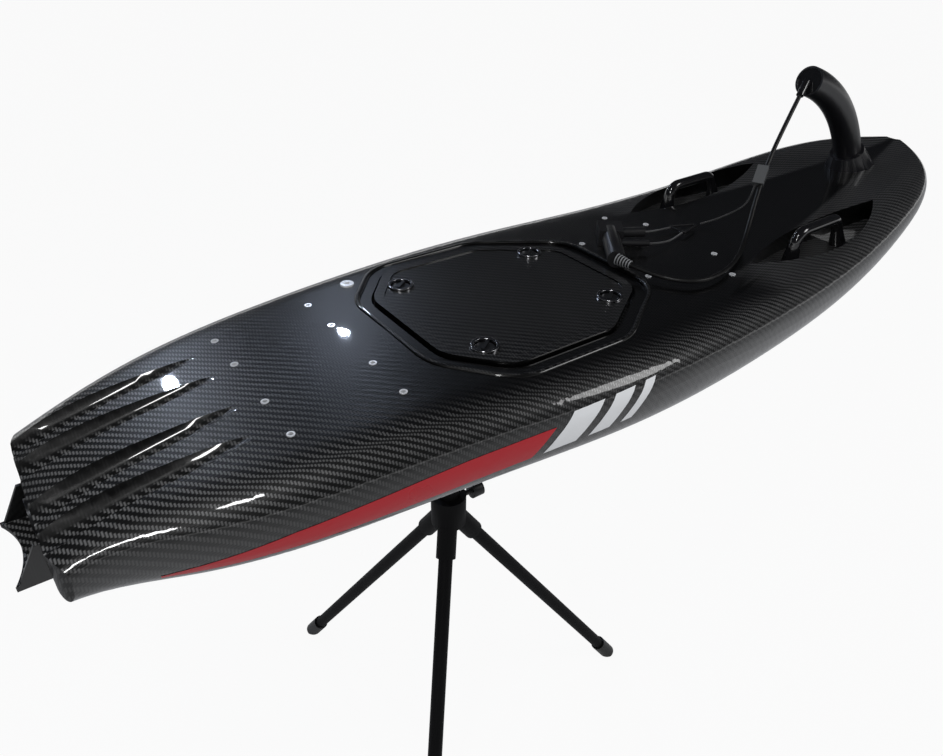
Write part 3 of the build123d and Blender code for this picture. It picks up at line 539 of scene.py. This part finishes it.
# Ribs of the strain relief where the cable enters the grip
BOOT_TIP = at(*CABLE_ROUTE[-1])
BOOT_WAY = (BOOT_TIP - at(*CABLE_ROUTE[-2])).normalized()
BOOT_LENGTH, BOOT_TIP_R, BOOT_R = 0.030, 0.0055, 0.009
RIB_R = 0.0011
RIB_PROUD = 0.3           # share of a rib's radius that its middle stands off the boot
RIBS = 6
FIRST_RIB = 0.7           # place of the first rib, in rib spacings from the tip
RIB_SIDES = 24
across_boot = BOOT_WAY.cross(Vector((0, 0, 1))).normalized()
over_boot = across_boot.cross(BOOT_WAY)
for number in range(RIBS):
    share = (number + FIRST_RIB) / RIBS
    radius = BOOT_TIP_R + (BOOT_R - BOOT_TIP_R) * share + RIB_PROUD * RIB_R
    middle = BOOT_TIP + BOOT_WAY * BOOT_LENGTH * share
    ring = []
    for i in range(RIB_SIDES):
        turn = 2 * math.pi * i / RIB_SIDES
        ring.append(middle + (across_boot * math.cos(turn) + over_boot * math.sin(turn)) * radius)
    riding_curve(f"boot_rib_{number}", ring, RIB_R, boot_grey)

# Plain rail graphics: a red stripe that widens forward, and slanting white bars ahead of it.
# Columns: station, foot and top of the stripe over the flat deck
STRIPE = [
    (0.100, -0.119, -0.115), (0.140, -0.117, -0.106), (0.236, -0.1125, -0.0848), (0.308, -0.1095, -0.0750),
    (0.372, -0.1070, -0.0675), (0.440, -0.1035, -0.0600), (0.542, -0.0965, -0.0545), (0.800, -0.0800, -0.0420),
]
STRIPE_END = 0.562
STRIPE_SLANT = 0.8        # forward lean per height
DECAL_PROUD = 0.0005
BARS = [(0.580, 0.052), (0.652, 0.036), (0.708, 0.020)]    # columns start station, width
BAR_RISE = 0.014          # bars stand this much higher than the stripe
STRIPE_COLUMNS, BAR_COLUMNS, PATCH_ROWS = 90, 8, 8


def stripe_edges(station):
    """Foot and top of the stripe between two of its points."""
    for (s0, *low), (s1, *high) in zip(STRIPE, STRIPE[1:]):
        if station <= s1:
            share = (station - s0) / (s1 - s0)
            return [start + (end - start) * share for start, end in zip(low, high)]
    return STRIPE[-1][1:]


def rail_patch(name, sign, start, end, extra, slant_start, material, columns):
    """Patch on the rail between two stations, with a slanting front end and a straight or slanting rear end."""
    rows = []
    for i in range(columns + 1):
        row = []
        for j in range(PATCH_ROWS + 1):
            base = start + (end - start) * i / columns
            foot, top = stripe_edges(base)
            rise_here = (top + extra - foot) * j / PATCH_ROWS
            lean = STRIPE_SLANT * rise_here * (1 if slant_start else i / columns)
            row.append(on_rail(base + lean, foot + rise_here, sign, DECAL_PROUD))
        rows.append(row if sign > 0 else row[::-1])
    sheet_piece(name, rows, material)


for side, sign in (("port", 1), ("starboard", -1)):
    rail_patch(f"rail_stripe_{side}", sign, STRIPE[0][0], STRIPE_END, 0, False, stripe_red, STRIPE_COLUMNS)
    for number, (start, width) in enumerate(BARS):
        rail_patch(f"rail_bar_{side}_{number}", sign, start, start + width, BAR_RISE, True, stripe_white, BAR_COLUMNS)


# Floor, world and lamps
FLOOR_HALF = 40.0
FLOOR_GREY = 0.6
FLOOR_SEEN = 0.93         # share of plain white that the camera sees
FLOOR_MIRRORED = 0.07     # share of plain white that reflections see


def mirror_ray(tree, light_path):
    """1 for rays that a surface mirrors or lets through."""
    return calc(tree, "MAXIMUM", light_path.outputs["Is Glossy Ray"], light_path.outputs["Is Transmission Ray"])


def add_floor():
    """Pale floor that reads white in the picture and keeps the shadow."""
    corners = [(FLOOR_HALF * x, FLOOR_HALF * y, 0) for x, y in ((-1, -1), (1, -1), (1, 1), (-1, 1))]
    mesh = bpy.data.meshes.new("floor")
    mesh.from_pydata(corners, [], [(0, 1, 2, 3)])
    floor = bpy.data.objects.new("floor", mesh)
    scene.collection.objects.link(floor)
    material, tree, shader, _ = start_material("floor", 0.9, specular=0.0)
    shader.inputs["Base Color"].default_value = (FLOOR_GREY, FLOOR_GREY, FLOOR_GREY, 1)
    light_path = tree.nodes.new("ShaderNodeLightPath")
    share = calc(tree, "MAXIMUM", calc(tree, "MULTIPLY", light_path.outputs["Is Camera Ray"], FLOOR_SEEN),
                 calc(tree, "MULTIPLY", mirror_ray(tree, light_path), FLOOR_MIRRORED))
    glow = tree.nodes.new("ShaderNodeEmission")
    mix = tree.nodes.new("ShaderNodeMixShader")
    tree.links.new(share, mix.inputs["Fac"])
    tree.links.new(shader.outputs["BSDF"], mix.inputs[1])
    tree.links.new(glow.outputs["Emission"], mix.inputs[2])
    tree.links.new(mix.outputs["Shader"], tree.nodes["Material Output"].inputs["Surface"])
    mesh.materials.append(material)


AMBIENT = (0.50, 0.51, 0.53)
CEILING = (0.020, 0.021, 0.024)
HORIZON = (0.01, 0.09)    # rise over which the white horizon gives way to the ceiling in reflections


def add_world():
    """White backdrop at the horizon that darkens overhead in reflections, with soft grey light all round."""
    world = bpy.data.worlds.new("world")
    scene.world = world
    world.use_nodes = True
    tree = world.node_tree
    light_path = tree.nodes.new("ShaderNodeLightPath")
    _, _, upward = part_of(tree, tree.nodes.new("ShaderNodeTexCoord").outputs["Generated"])
    low_band = calc(tree, "SUBTRACT", 1, rise(tree, upward, *HORIZON))
    white = calc(tree, "MAXIMUM", light_path.outputs["Is Camera Ray"],
                 calc(tree, "MULTIPLY", mirror_ray(tree, light_path), low_band))
    soft = blend(tree, light_path.outputs["Is Diffuse Ray"], CEILING, AMBIENT)
    tree.links.new(blend(tree, white, soft, (1, 1, 1)), tree.nodes["Background"].inputs["Color"])


def add_lamp(name, place, target, size, power, colour=(1, 1, 1)):
    """Round soft lamp aimed at a point."""
    data = bpy.data.lights.new(name, "AREA")
    data.shape = "DISK"
    data.size = size
    data.energy = power
    data.color = colour
    lamp = bpy.data.objects.new(name, data)
    lamp.location = place
    lamp.rotation_euler = (Vector(target) - Vector(place)).to_track_quat("-Z", "Y").to_euler()
    scene.collection.objects.link(lamp)


add_floor()
add_world()
MIDDLE = at(0.8, 0, 0)
COOL = (0.70, 0.80, 1.0)
add_lamp("overhead", at(-0.3, -0.8, 2.0), at(0.2, 0, 0), 0.35, 9)
add_lamp("left", at(-1.9, -2.2, 1.9), MIDDLE, 0.5, 22)
add_lamp("right", at(3.0, -2.6, 2.2), MIDDLE, 1.5, 30)
add_lamp("tail_spot", at(0.271, 1.960, 1.096), at(0.198, 0.066, -0.022), 0.07, 5.5, COOL)
add_lamp("deck_spot", at(1.148, 1.795, 1.121), at(0.446, 0.039, -0.003), 0.055, 4.0, COOL)
